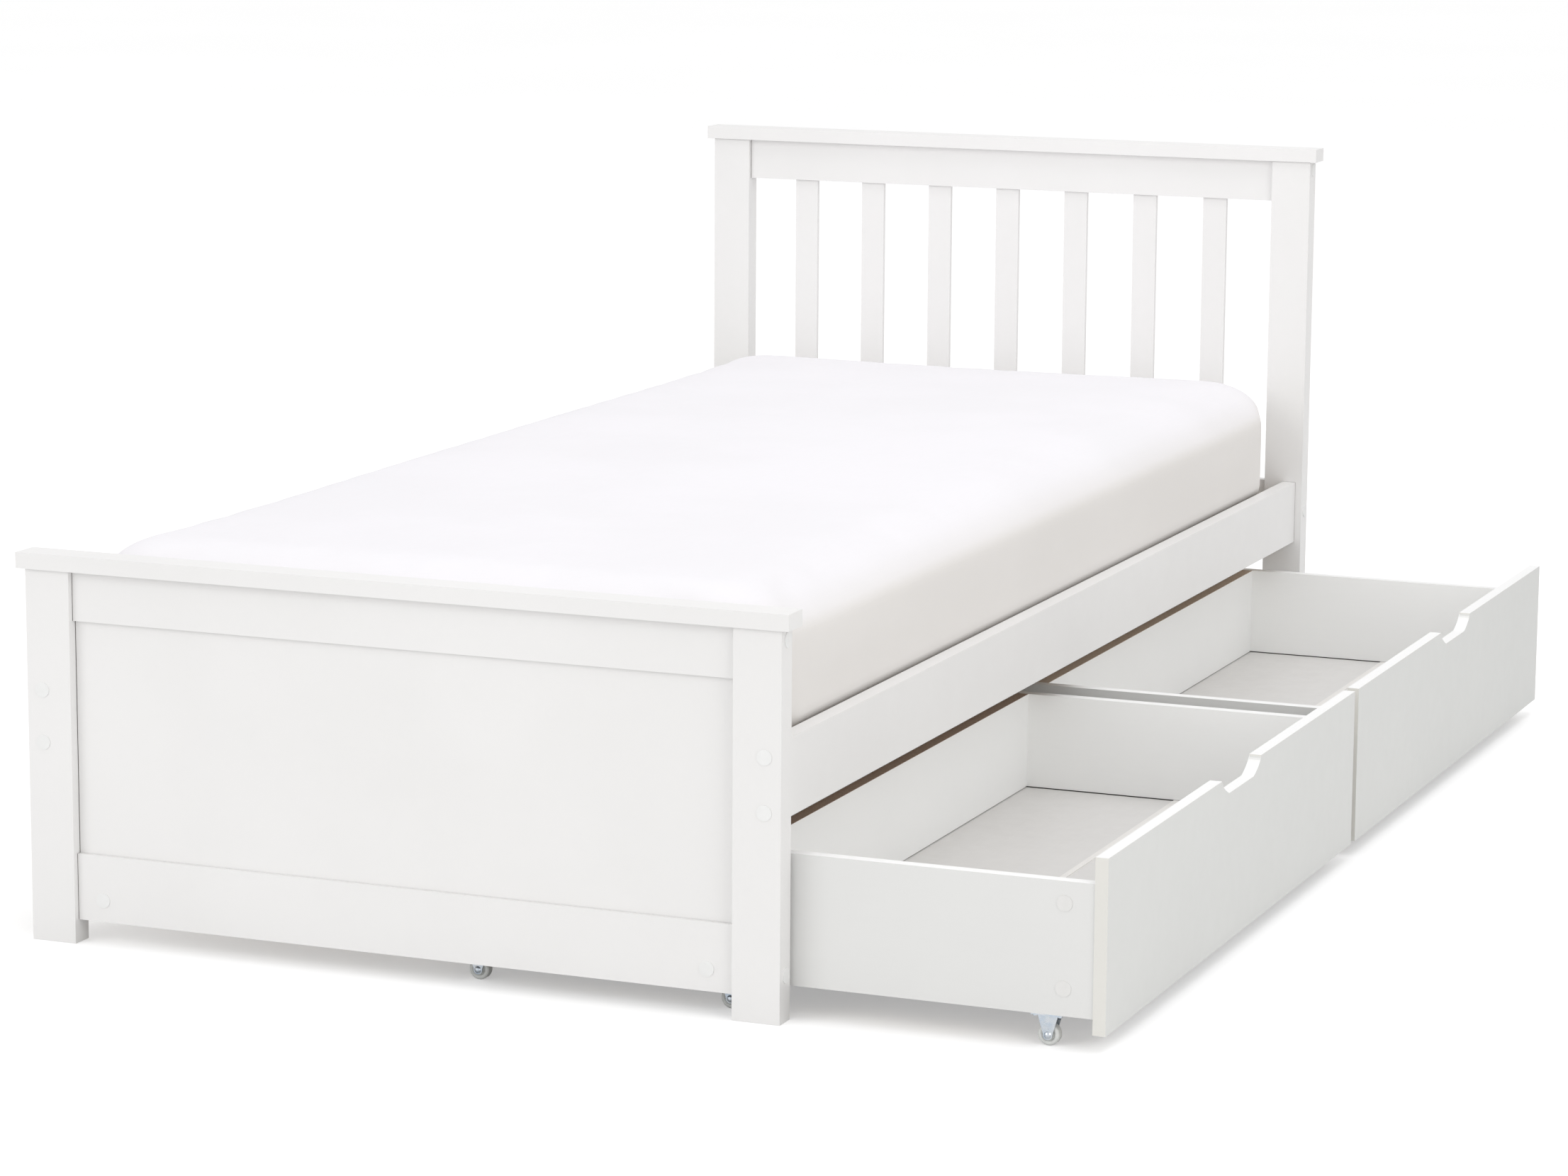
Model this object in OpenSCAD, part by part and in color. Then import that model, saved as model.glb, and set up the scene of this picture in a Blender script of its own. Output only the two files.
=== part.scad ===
// Single bed frame in white lacquered board, with a slatted headboard, a panelled footboard,
// a slatted base with its mattress, and two deep storage drawers that roll out sideways.
// +X is the side the drawers come out of, +Y points to the headboard, +Z is up, the floor is z = 0.
// Every part is drawn with the drawers rolled out, which is the position of rest.

/* [Bed frame] */
// Width over the outer faces of the posts
bed_w = 960; // [900:5:1000]
// Length over the outer faces of the posts
bed_l = 2084; // [2080:2:2104]
// Width of a post, across the bed
post_w = 58; // [54:1:66]
// Thickness of a post, along the bed
post_t = 30; // [30:1:36]
// Height of the headboard posts
head_h = 798; // [740:2:900]
// Height of the footboard posts
foot_h = 448; // [440:2:500]
// Thickness of the boards that cap the two ends
cap_t = 19; // [16:1:24]
// How far a cap board stands out past the posts at each side
cap_side = 10; // [4:1:16]
// How far a cap board stands out past the posts, front and back
cap_face = 5; // [2:1:8]

/* [Head and foot ends] */
// Thickness of the rails between two posts
end_rail_t = 18; // [16:1:20]
// How far those rails are set back from the front of the posts
end_rail_set = 8; // [5:1:9]
// Height of the rail under each cap board
top_rail_h = 60; // [50:1:70]
// Height of the footboard's bottom rail
foot_rail_h = 80; // [70:1:90]
// Height of the footboard's bottom rail above the floor
foot_rail_z = 28; // [20:1:40]
// Thickness of the footboard's panel
panel_t = 6; // [4:1:8]
// Number of upright slats in the headboard
head_slats = 7; // [5:1:9]
// Width of an upright slat
head_slat_w = 36; // [30:1:42]
// Thickness of an upright slat
head_slat_t = 7; // [6:1:10]

/* [Side rails and slatted base] */
// Thickness of a side rail
side_rail_t = 20; // [18:1:22]
// Height of a side rail
side_rail_h = 90; // [84:1:100]
// Height of a side rail's underside above the floor
side_rail_z = 227; // [226:1:236]
// How far a side rail is set in from the outer face of the posts
side_rail_in = 10; // [6:1:14]
// Side of the square batten that carries the slats
ledger = 28; // [24:1:30]
// Number of slats in the base
base_slats_n = 14; // [10:1:16]
// Width of a base slat
base_slat_w = 68; // [60:1:76]
// Thickness of a base slat
base_slat_t = 14; // [12:1:18]

/* [Mattress] */
// Width of the mattress in its sheet
mattress_w = 896; // [880:2:896]
// Length of the mattress in its sheet
mattress_l = 2010; // [1990:2:2012]
// Height of the mattress in its sheet
mattress_h = 200; // [150:2:210]
// Radius of its upper edges
mattress_r = 48; // [30:1:60]

/* [Drawers] */
// Length of a drawer's front, along the bed
front_l = 992; // [980:1:996]
// Height of a drawer's front
front_h = 200; // [190:1:204]
// Height of the front's underside above the floor
front_z = 20; // [16:1:22]
// Thickness of the drawer boards
board_t = 15; // [12:1:16]
// Depth of the box behind the front
box_d = 800; // [700:5:830]
// Height of the box
box_h = 152; // [140:1:160]
// Height of the box's underside above the floor
box_z = 37.5; // [36.5:0.5:40]
// How far the front reaches past the box towards the foot end
front_near = 2; // [1:1:30]
// How far the front reaches past the box towards the head end
front_far = 30; // [1:1:40]
// Distance from the front's outer face to the middle of the divider
divider_in = 432.5; // [300:0.5:600]
// How far each drawer stands out of the bed at rest
drawer_out = 380; // [0:5:420]

/* [Finger notch] */
// Width of the notch at the top edge of the front
notch_w = 158; // [120:2:200]
// Depth of the notch
notch_d = 20; // [15:1:26]
// Width of a sloping flank of the notch
notch_flank = 30; // [20:1:40]

/* [Casters] */
// Diameter of a wheel
wheel_d = 25; // [22:1:28]
// Width of a wheel
wheel_w = 13; // [10:0.5:14]
// Diameter of the axle
axle_d = 5; // [4:0.5:6]
// Length of the mounting plate
plate_l = 36; // [32:1:42]
// Width of the mounting plate
plate_w = 28; // [26:1:30]
// Thickness of the bracket's sheet steel
steel_t = 1.5; // [1:0.1:2]

/* [Hidden] */
$fn = 48;

// Colours
WHITE = [0.93, 0.93, 0.92];
PINE = [0.86, 0.72, 0.52];
RAW_BOARD = [0.62, 0.48, 0.38];
ZINC = [0.70, 0.75, 0.80];
TAPE = [0.80, 0.80, 0.78];
SHEET = [0.97, 0.96, 0.97];
NYLON = [0.80, 0.80, 0.77];

// Places on the bed, measured from its middle
half_w = bed_w / 2;
half_l = bed_l / 2;
post_in = half_w - post_w;                 // inner face of a post
foot_face = -half_l;                       // face of the footboard posts that looks outwards
head_face = half_l - post_t;               // face of the headboard posts that looks to the foot end
inner_l = bed_l - 2 * post_t;              // length of the side rails
rail_out = half_w - side_rail_in;          // outer face of a side rail
rail_in = rail_out - side_rail_t;          // inner face of a side rail
rail_top = side_rail_z + side_rail_h;
foot_rail_top = foot_rail_z + foot_rail_h;
end_rail_y = end_rail_set + end_rail_t / 2;  // middle of an end rail, from the posts' front face
cap_gap = 0.8;                             // between a top rail and the cap board over it

// The bed stands with the middle of its outline, drawers included, on the origin
out_x = rail_out + drawer_out;             // outer face of the drawer fronts
bed_x = (half_w + cap_side - out_x) / 2;

// Slatted base
ledger_z = side_rail_z + 7;
slat_z = ledger_z + ledger;                // underside of the slats
slat_top = slat_z + base_slat_t;
ledger_l = inner_l - 64;
base_slat_l = 2 * rail_in - 4;
slat_pitch = (ledger_l - base_slat_w) / (base_slats_n - 1);
tape_w = 25;
tape_t = 1.2;
tape_x = 290;

// Fittings
bolt_d = 6;
bolt_hole_d = 6.6;
head_d = 13;
head_seat_d = 14;
head_t = 4;
nut_d = 10;
nut_hole_d = 10.4;
nut_l = 14;
nut_from_joint = 34;                       // from the end of a rail to its barrel nut
dowel_d = 8;
dowel_l = 40;
dowel_gap = 0.1;
cap_d = 18;                                // round cover caps
cap_disc_t = 1;
cap_dowel_l = 16;                          // half of it in the post, half in the cap board
side_bolt_z = [side_rail_z + 14, rail_top - 13];
side_bolt_x = half_w - 20;
foot_bolt_z = [foot_rail_z + 26, foot_h - 13];
head_bolt_z = [side_rail_z + side_rail_h / 2, head_h - 13];
screw_d = 4;
screw_l = 40;
ledger_screws_n = 7;

// Drawer boxes, measured from the outer face and the foot end of the front
groove_d = 5;                              // depth of the groove that holds the bottom
groove_gap = 1.3;                          // free height over the bottom in that groove
floor_t = 4;
floor_top = box_z + 28;
floor_z = floor_top - floor_t;
side_near_y = front_near;
side_far_y = front_l - front_far - board_t;
inner_near = side_near_y + board_t;
inner_far = side_far_y;
box_back = board_t + box_d;                // from the front's outer face to the back of the box
box_top = box_z + box_h;
strip_in = (board_t + divider_in - board_t / 2) / 2;
runner_w = 16;
drawer_y = [foot_face + post_t + 4, foot_face + post_t + 4 + front_l + 18];
cam_in = board_t + 35;                     // from the front's outer face to the cam fittings
cam_z = [box_z + 31, box_z + 127];
cam_d = 15;
cam_l = 9.5;
cam_pin_d = 6;
cam_pin_l = 38;
side_screw_d = 5;
side_screw_l = 45;
side_screw_z = [box_z + 50, box_z + 127];

// Casters: distance from the back of the box, and the side of the drawer they are under
caster_from_back = [52, 368, 746];
caster_y = [side_near_y + plate_w / 2, side_far_y + board_t - plate_w / 2];
axle_z = wheel_d / 2;
ear_gap = wheel_w + 1.6;
ear_w = 24;
ear_r = 5.5;
plate_z = box_z - steel_t;
screw_at = [plate_l / 2 - 3.5, 9.5];       // caster screws, from the middle of the plate
small_screw_d = 3;
small_screw_l = 13;

// ---------------------------------------------------------------- helpers

// Moves a part of the bed, drawn about the bed's middle, to its place about the origin
module at_bed() {
  translate([bed_x, 0, 0]) children();
}

// Draws the right-hand part and its mirror image
module both_sides() {
  children();
  mirror([1, 0, 0]) children();
}

// Box from one corner to the opposite one
module block(from, to) {
  translate(from) cube(to - from);
}

// Round bar between two points along one axis, d wide; axis is 0, 1 or 2
module bar(from, length, d, axis) {
  turn = [[0, 90, 0], [-90, 0, 0], [0, 0, 0]];
  translate(from) rotate(turn[axis]) cylinder(h = length, d = d);
}

// ---------------------------------------------------------------- posts and their fittings

// y position of the bolts that run across the bed, for the foot (0) or the head end (1)
function cross_y(end) = (end == 0 ? foot_face : head_face) + end_rail_y;
function cross_z(end) = end == 0 ? foot_bolt_z : head_bolt_z;
// Height of the middle of each dowel pair in the end rails
function dowel_z(end) = end == 0
  ? [foot_rail_z + 56, foot_h - 42]
  : [side_rail_z + 16, rail_top - 16, head_h - 48];

// Bolt with its head at the start and the shank along +Z
module bolt(length) {
  cylinder(h = head_t, d = head_d);
  cylinder(h = length, d = bolt_d);
}

// Hole for such a bolt, with the seat for its head
module bolt_hole(length) {
  translate([0, 0, -7]) cylinder(h = 7 + head_t + 0.2, d = head_seat_d);
  cylinder(h = length + 2, d = bolt_hole_d);
}

// Places of the bolts of one end, on the right-hand side; children are drawn along +Z
module side_bolts(end) {
  for (z = side_bolt_z)
    translate([side_bolt_x, end == 0 ? foot_face + 6 : half_l - 6, z])
      rotate([end == 0 ? -90 : 90, 0, 0]) children();
}
module cross_bolts(end) {
  for (z = cross_z(end))
    translate([half_w - 6, cross_y(end), z]) rotate([0, -90, 0]) children();
}
side_bolt_l = post_t - 6 + nut_from_joint + 12;
cross_bolt_l = post_w - 6 + nut_from_joint + 8;

// The barrel nuts of the footboard's bottom rail go in from the front, all others from behind
function nut_from_front(end, z) = end == 0 && z < foot_rail_top;

// Places of the barrel nuts of one end, on the right-hand side, drawn along +Z
module side_nuts(end) {
  s = end == 0 ? 1 : -1;
  y = end == 0 ? foot_face + post_t + nut_from_joint : half_l - post_t - nut_from_joint;
  for (z = side_bolt_z) translate([rail_in + 2, y, z]) rotate([0, 90, 0]) children();
}
module cross_nuts(end) {
  for (z = cross_z(end))
    translate([post_in - nut_from_joint, cross_y(end), z])
      rotate([nut_from_front(end, z) ? -90 : 90, 0, 0]) translate([0, 0, 2 - end_rail_t / 2]) children();
}

// Dowels of one end on the right-hand side: across the bed into the rails, and up into the cap
module end_dowels(end, d, slack) {
  l = dowel_l + slack;
  for (z = dowel_z(end))
    bar([post_in - l / 2, cross_y(end), z], l, d, 0);
  h = end == 0 ? foot_h : head_h;
  for (x = [half_w - 17, post_in + 17])
    bar([x, (end == 0 ? foot_face : head_face) + post_t / 2, h - (cap_dowel_l + slack) / 2],
        cap_dowel_l + slack, d, 2);
}

// All the holes of one end on the right-hand side
module end_holes(end) {
  side_bolts(end) bolt_hole(side_bolt_l);
  cross_bolts(end) bolt_hole(cross_bolt_l);
  side_nuts(end) translate([0, 0, -10]) cylinder(h = nut_l + 10.4, d = nut_hole_d);
  cross_nuts(end) translate([0, 0, -10]) cylinder(h = nut_l + 10.4, d = nut_hole_d);
  end_dowels(end, dowel_d + 2 * dowel_gap, 1);
}

module end_post(end, h) {
  y = end == 0 ? foot_face : head_face;
  difference() {
    block([post_in, y, 0], [half_w, y + post_t, h]);
    end_holes(end);
    if (end == 0) panel_space(0.4);
  }
}

module headboard_post_right() {
  color(WHITE) at_bed() end_post(1, head_h);
}
module headboard_post_left() {
  color(WHITE) at_bed() mirror([1, 0, 0]) end_post(1, head_h);
}
module footboard_post_right() {
  color(WHITE) at_bed() end_post(0, foot_h);
}
module footboard_post_left() {
  color(WHITE) at_bed() mirror([1, 0, 0]) end_post(0, foot_h);
}

// ---------------------------------------------------------------- head and foot ends

module cap_board(end) {
  y = end == 0 ? foot_face : head_face;
  z = end == 0 ? foot_h : head_h;
  difference() {
    block([-half_w - cap_side, y - cap_face, z],
          [half_w + cap_side, y + post_t + cap_face, z + cap_t]);
    both_sides() end_dowels(end, dowel_d + 2 * dowel_gap, 1);
  }
}

module headboard_cap() {
  color(WHITE) at_bed() cap_board(1);
}
module footboard_cap() {
  color(WHITE) at_bed() cap_board(0);
}

// Rail between the posts of one end, from z0 to z1
module end_rail(end, z0, z1) {
  y = (end == 0 ? foot_face : head_face) + end_rail_set;
  difference() {
    block([-post_in, y, z0], [post_in, y + end_rail_t, z1]);
    both_sides() end_holes(end);
    if (end == 0) panel_space(0.4);
    if (end == 1) head_slat_row(0.1);
  }
}

slat_tenon = 12;
head_slat_gap = (2 * post_in - head_slats * head_slat_w) / (head_slats + 1);

// The upright slats; slack makes them larger all round, for their mortises
module head_slat_row(slack) {
  y = cross_y(1) - head_slat_t / 2;
  for (i = [0 : head_slats - 1]) {
    x = -post_in + head_slat_gap + i * (head_slat_w + head_slat_gap);
    block([x - slack, y - slack, rail_top - slat_tenon - slack],
          [x + head_slat_w + slack, y + head_slat_t + slack, head_h - top_rail_h + slat_tenon + slack]);
  }
}

module headboard_top_rail() {
  color(WHITE) at_bed() end_rail(1, head_h - top_rail_h, head_h - cap_gap);
}
module headboard_bottom_rail() {
  color(WHITE) at_bed() end_rail(1, side_rail_z, rail_top);
}
module headboard_slats() {
  color(WHITE) at_bed() head_slat_row(0);
}

panel_lap = 8;                             // depth of the grooves that hold the panel

// Space that the footboard's panel takes, grooves included; slack makes the grooves wider
module panel_space(slack) {
  y = cross_y(0) - panel_t / 2;
  block([-post_in - panel_lap, y - slack, foot_rail_top - panel_lap],
        [post_in + panel_lap, y + panel_t + slack, foot_h - top_rail_h + panel_lap]);
}
module footboard_panel() {
  color(WHITE) at_bed() panel_space(0);
}
module footboard_top_rail() {
  color(WHITE) at_bed() end_rail(0, foot_h - top_rail_h, foot_h - cap_gap);
}
module footboard_bottom_rail() {
  color(WHITE) at_bed() end_rail(0, foot_rail_z, foot_rail_top);
}

// ---------------------------------------------------------------- side rails and slatted base

// Screws of the right-hand ledger, along +X from its inner face
module ledger_screw_row() {
  step = (ledger_l - 120) / (ledger_screws_n - 1);
  for (i = [0 : ledger_screws_n - 1])
    translate([rail_in - ledger, -ledger_l / 2 + 60 + i * step, ledger_z + ledger / 2 - 4])
      rotate([0, 90, 0]) children();
}
// Screws of the first and last slat at the right-hand side, downwards from its top
module slat_screw_row() {
  for (i = [0, base_slats_n - 1], dy = [-18, 18])
    translate([rail_in - ledger / 2, slat_y(i) + dy, slat_top]) rotate([180, 0, 0]) children();
}
function slat_y(i) = -ledger_l / 2 + base_slat_w / 2 + i * slat_pitch;

// Countersunk wood screw, its flat head at the origin and its point along +Z
module wood_screw(length, slack) {
  cylinder(h = 2.4, d1 = 8 + slack, d2 = screw_d + slack);
  cylinder(h = length + slack, d = screw_d + slack);
}

module side_rail() {
  difference() {
    block([rail_in, -inner_l / 2, side_rail_z], [rail_out, inner_l / 2, rail_top]);
    end_holes(0);
    end_holes(1);
    ledger_screw_row() wood_screw(screw_l, 0.2);
  }
}
module side_rail_right() {
  color(WHITE) at_bed() side_rail();
}
module side_rail_left() {
  color(WHITE) at_bed() mirror([1, 0, 0]) side_rail();
}

module slat_ledger() {
  difference() {
    block([rail_in - ledger, -ledger_l / 2, ledger_z], [rail_in, ledger_l / 2, slat_z]);
    ledger_screw_row() wood_screw(screw_l, 0.2);
    slat_screw_row() wood_screw(30, 0.2);
  }
}
module slat_ledger_right() {
  color(PINE) at_bed() slat_ledger();
}
module slat_ledger_left() {
  color(PINE) at_bed() mirror([1, 0, 0]) slat_ledger();
}

module base_slats() {
  color(PINE) at_bed() difference() {
    for (i = [0 : base_slats_n - 1])
      block([-base_slat_l / 2, slat_y(i) - base_slat_w / 2, slat_z],
            [base_slat_l / 2, slat_y(i) + base_slat_w / 2, slat_top]);
    both_sides() slat_screw_row() wood_screw(30, 0.2);
  }
}

module slat_webbing() {
  l = ledger_l - 20;
  color(TAPE) at_bed() both_sides()
    block([tape_x - tape_w / 2, -l / 2, slat_z - tape_t], [tape_x + tape_w / 2, l / 2, slat_z]);
}

module base_screws() {
  color(ZINC) at_bed() both_sides() {
    ledger_screw_row() wood_screw(screw_l, 0);
    slat_screw_row() wood_screw(30, 0);
  }
}

// ---------------------------------------------------------------- frame fittings

// Bolt shank with the hole through the barrel nut left open round it
module frame_bolts() {
  color(ZINC) at_bed() both_sides() for (end = [0, 1]) {
    side_bolts(end) bolt(side_bolt_l);
    cross_bolts(end) bolt(cross_bolt_l);
  }
}

module barrel_nut(across) {
  difference() {
    cylinder(h = nut_l, d = nut_d);
    translate([0, 0, nut_l / 2 + across]) rotate([0, 90, 0])
      cylinder(h = 2 * nut_d, d = bolt_d + 0.2, center = true);
  }
}

module barrel_nuts() {
  // the hole through a nut lies on the axis of its bolt
  side_offset = side_bolt_x - rail_in - 2 - nut_l / 2;
  cross_offset = end_rail_t / 2 - 2 - nut_l / 2;
  color(ZINC) at_bed() both_sides() for (end = [0, 1]) {
    side_nuts(end) rotate([0, 0, 90]) barrel_nut(side_offset);
    cross_nuts(end) barrel_nut(cross_offset);
  }
}

module dowels() {
  color(PINE) at_bed() both_sides() for (end = [0, 1]) end_dowels(end, dowel_d, 0);
}

// Thin round caps over the bolt heads and over the nuts of the end rails
module cover_caps() {
  color(WHITE) at_bed() both_sides() for (end = [0, 1]) {
    for (z = side_bolt_z)
      bar([side_bolt_x, end == 0 ? foot_face - cap_disc_t : half_l, z], cap_disc_t, cap_d, 1);
    for (z = cross_z(end))
      bar([half_w, cross_y(end), z], cap_disc_t, cap_d, 0);
    for (z = cross_z(end))
      translate([post_in - nut_from_joint, cross_y(end), z])
        rotate([nut_from_front(end, z) ? 90 : -90, 0, 0])
          translate([0, 0, end_rail_t / 2]) cylinder(h = cap_disc_t, d = cap_d);
  }
}

// ---------------------------------------------------------------- mattress

// End view of the mattress: flat below, with large round upper edges
module mattress_outline() {
  low_r = 20;
  w = mattress_w / 2;
  z1 = mattress_h;
  translate([-w + low_r, 0]) square([2 * (w - low_r), z1 - mattress_r]);
  translate([-w, low_r]) square([2 * w, z1 - mattress_r - low_r]);
  translate([-w + mattress_r, low_r]) square([2 * (w - mattress_r), z1 - low_r]);
  for (s = [-1, 1]) {
    translate([s * (w - low_r), low_r]) circle(r = low_r);
    translate([s * (w - mattress_r), z1 - mattress_r]) circle(r = mattress_r);
  }
}

module mattress() {
  gap = 0.5;
  head_gap = 6;
  color(SHEET) at_bed() translate([0, head_face - head_gap, slat_top + gap])
    rotate([90, 0, 0]) linear_extrude(mattress_l) mattress_outline();
}

// ---------------------------------------------------------------- drawers
// Each drawer is drawn with x = 0 at the front's outer face and y = 0 at its foot-side end,
// and k tells which drawer it is: 0 towards the foot end, 1 towards the head end.

module at_drawer(k) {
  translate([bed_x + out_x, drawer_y[k], 0]) children();
}

// Screws through the sides into the back and the divider, along +Y from the near side's face
module side_screw_row() {
  for (x = [-divider_in, -box_back + board_t / 2], z = side_screw_z)
    translate([x, side_near_y, z]) rotate([-90, 0, 0]) children();
}
module far_side() {
  translate([0, side_near_y + side_far_y + board_t, 0]) mirror([0, 1, 0]) children();
}
module both_drawer_sides() {
  children();
  far_side() children();
}

// Screw through a side: a flush head and a shank
module side_screw(slack) {
  cylinder(h = 3, d = 9 + slack);
  cylinder(h = side_screw_l + slack, d = side_screw_d + slack);
}

// Cam fittings of the near side: the drum in the side, and its pin into the front
module cams(slack) {
  for (z = cam_z)
    bar([-cam_in, side_near_y - slack, z], cam_l + slack, cam_d + slack, 1);
}
module cam_pins(slack) {
  for (z = cam_z)
    bar([-cam_in + cam_d / 2 - 2, side_near_y + 6.5, z], cam_pin_l + slack,
        cam_pin_d + slack, 0);
}

// Caster stations: children are drawn about the middle of the plate, at floor level
module at_caster(i) {
  translate([-box_back + caster_from_back[i % 3], caster_y[floor(i / 3)], 0]) children();
}
module caster_screws(slack) {
  for (sx = [-1, 1], sy = [-1, 1])
    translate([sx * screw_at[0], sy * screw_at[1], plate_z])
      cylinder(h = small_screw_l + slack, d = small_screw_d + slack);
}
module all_caster_screws(slack) {
  for (i = [0 : 5]) at_caster(i) caster_screws(slack);
}

// Everything that is cut out of the boards of a drawer
module drawer_cuts() {
  both_drawer_sides() {
    side_screw_row() side_screw(0.2);
    cams(0.2);
    cam_pins(0.2);
  }
  all_caster_screws(0.2);
  floor_space(groove_gap);
}

// Space of the whole bottom, with its edges in the grooves, and gap high over it
module floor_space(gap) {
  block([-box_back + board_t - groove_d, inner_near - groove_d, floor_z],
        [-board_t + groove_d, inner_far + groove_d, floor_top + gap]);
}

// Outline of the front, with the finger notch in its top edge; x runs along the bed
module front_outline() {
  c = front_l / 2;
  // a flank slopes, is steepest at the top, and rounds into the flat bottom of the notch
  flank = [for (t = [0 : 0.1 : 1])
    [notch_flank * sin(90 * t), notch_d * (sin(90 * t) + 1 - cos(90 * t)) / 2]];
  n = len(flank);
  polygon(concat(
    [[0, 0], [front_l, 0], [front_l, front_h]],
    [for (i = [0 : n - 1]) [c + notch_w / 2 - notch_flank + flank[n - 1 - i][0],
                            front_h - notch_d + flank[n - 1 - i][1]]],
    [for (i = [0 : n - 1]) [c - notch_w / 2 + notch_flank - flank[i][0],
                            front_h - notch_d + flank[i][1]]],
    [[0, front_h]]));
}

module drawer_front(k) {
  color(WHITE) at_drawer(k) difference() {
    translate([-board_t, 0, front_z]) rotate([90, 0, 90]) linear_extrude(board_t) front_outline();
    both_drawer_sides() cam_pins(0.2);
    floor_space(groove_gap);
  }
}

// Side board whose outer or inner face, the one nearer the foot end, is at y
module drawer_side(y) {
  difference() {
    block([-box_back, y, box_z], [-board_t, y + board_t, box_top]);
    drawer_cuts();
  }
}
module drawer_side_near(k) {
  color(WHITE) at_drawer(k) drawer_side(side_near_y);
}
module drawer_side_far(k) {
  color(WHITE) at_drawer(k) drawer_side(side_far_y);
}

module drawer_back(k) {
  color(RAW_BOARD) at_drawer(k) difference() {
    block([-box_back, inner_near, box_z], [-box_back + board_t, inner_far, box_top]);
    drawer_cuts();
  }
}
module drawer_divider(k) {
  color(RAW_BOARD) at_drawer(k) difference() {
    block([-divider_in - board_t / 2, inner_near, floor_top + groove_gap],
          [-divider_in + board_t / 2, inner_far, box_top]);
    drawer_cuts();
  }
}

// Bottom in three boards: two meet in the joint strip, and two under the divider
module drawer_bottom(k) {
  strip_web = 1;
  color(WHITE) at_drawer(k) difference() {
    floor_space(0);
    block([-divider_in - 0.2, 0, floor_z - 1], [-divider_in + 0.2, front_l, floor_top + 1]);
    block([-strip_in - strip_web / 2, 0, floor_z - 1], [-strip_in + strip_web / 2, front_l, floor_top + 1]);
  }
}

// H-shaped strip that joins the two boards of the front compartment
module drawer_joint_strip(k) {
  web = 0.8;
  flange_w = 8;
  flange_t = 1;
  color(WHITE) at_drawer(k) {
    block([-strip_in - web / 2, inner_near, floor_z], [-strip_in + web / 2, inner_far, floor_top]);
    for (z = [floor_top, floor_z - flange_t])
      block([-strip_in - flange_w / 2, inner_near + (z < floor_z ? runner_w : 0), z],
            [-strip_in + flange_w / 2, inner_far - (z < floor_z ? runner_w : 0), z + flange_t]);
  }
}

// Battens under the bottom, beside the two sides, that take the casters' screws
module drawer_runners(k) {
  color(PINE) at_drawer(k) difference() {
    both_drawer_sides()
      block([-box_back + board_t, inner_near, box_z], [-board_t, inner_near + runner_w, floor_z]);
    both_drawer_sides() side_screw_row() side_screw(0.2);
    all_caster_screws(0.2);
  }
}

// Side view of a fork ear: wide under the plate, round about the axle
module ear_outline() {
  polygon([[-ear_w / 2, plate_z], [-ear_r, axle_z + 1], [-ear_r, axle_z],
           [ear_r, axle_z], [ear_r, axle_z + 1], [ear_w / 2, plate_z]]);
  translate([0, axle_z]) circle(r = ear_r);
}

module caster_bracket() {
  difference() {
    union() {
      block([-plate_l / 2, -plate_w / 2, plate_z], [plate_l / 2, plate_w / 2, box_z]);
      for (s = [-1, 1])
        translate([0, s * (ear_gap + steel_t) / 2 + steel_t / 2, 0])
          rotate([90, 0, 0]) linear_extrude(steel_t) ear_outline();
    }
    caster_screws(0.3);
    bar([0, -plate_w / 2, axle_z], plate_w, axle_d, 1);
  }
}
module drawer_caster_brackets(k) {
  color(ZINC) at_drawer(k) for (i = [0 : 5]) at_caster(i) caster_bracket();
}

// Axle riveted over a low dome at both ends
module caster_axle() {
  dome_r = 4.3;
  dome_h = 2.2;
  length = ear_gap + 2 * steel_t;
  rise = (dome_r * dome_r - dome_h * dome_h) / (2 * dome_h);
  translate([0, -length / 2, axle_z]) rotate([-90, 0, 0]) {
    cylinder(h = length, d = axle_d);
    for (s = [0, 1]) translate([0, 0, s * length]) mirror([0, 0, 1 - s]) rotate_extrude()
      intersection() {
        translate([0, -rise]) circle(r = rise + dome_h);
        square([dome_r, dome_h]);
      }
  }
}
module drawer_axles(k) {
  color(ZINC) at_drawer(k) for (i = [0 : 5]) at_caster(i) caster_axle();
}

// Screws, cams and pins of a drawer; a caster screw has a low round head under its plate
module drawer_fasteners(k) {
  color(ZINC) at_drawer(k) {
    both_drawer_sides() {
      side_screw_row() side_screw(0);
      difference() {
        cams(0);
        cam_pins(0.2);
      }
      cam_pins(0);
    }
    all_caster_screws(0);
    for (i = [0 : 5]) at_caster(i) for (sx = [-1, 1], sy = [-1, 1])
      translate([sx * screw_at[0], sy * screw_at[1], plate_z - 1.6]) cylinder(h = 1.6, d = 5.6);
  }
}

module drawer_cover_caps(k) {
  t = 0.8;
  color(WHITE) at_drawer(k) both_drawer_sides() {
    for (z = cam_z) bar([-cam_in, side_near_y - t, z], t, cap_d, 1);
    side_screw_row() mirror([0, 0, 1]) cylinder(h = t, d = cap_d);
  }
}

// Wheel profile: rounded tread, a recessed web and a hub round the axle
module wheel_profile() {
  r = wheel_d / 2;
  round = 3;
  bore = axle_d / 2 + 0.05;
  hub_r = 5.5;
  rim_r = r - 3.5;
  hw = wheel_w / 2;
  translate([rim_r, -hw]) square([r - round - rim_r, wheel_w]);
  translate([rim_r, -hw + round]) square([r - rim_r, wheel_w - 2 * round]);
  for (s = [-1, 1]) translate([r - round, s * (hw - round)]) circle(r = round);
  translate([hub_r - 0.5, -hw + 2]) square([rim_r - hub_r + 1, wheel_w - 4]);
  translate([bore, -hw]) square([hub_r - bore, wheel_w]);
}
module drawer_wheel(k, i) {
  color(NYLON) at_drawer(k) at_caster(i)
    translate([0, 0, axle_z]) rotate([90, 0, 0]) rotate_extrude() wheel_profile();
}

// ---------------------------------------------------------------- the nodes

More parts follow.
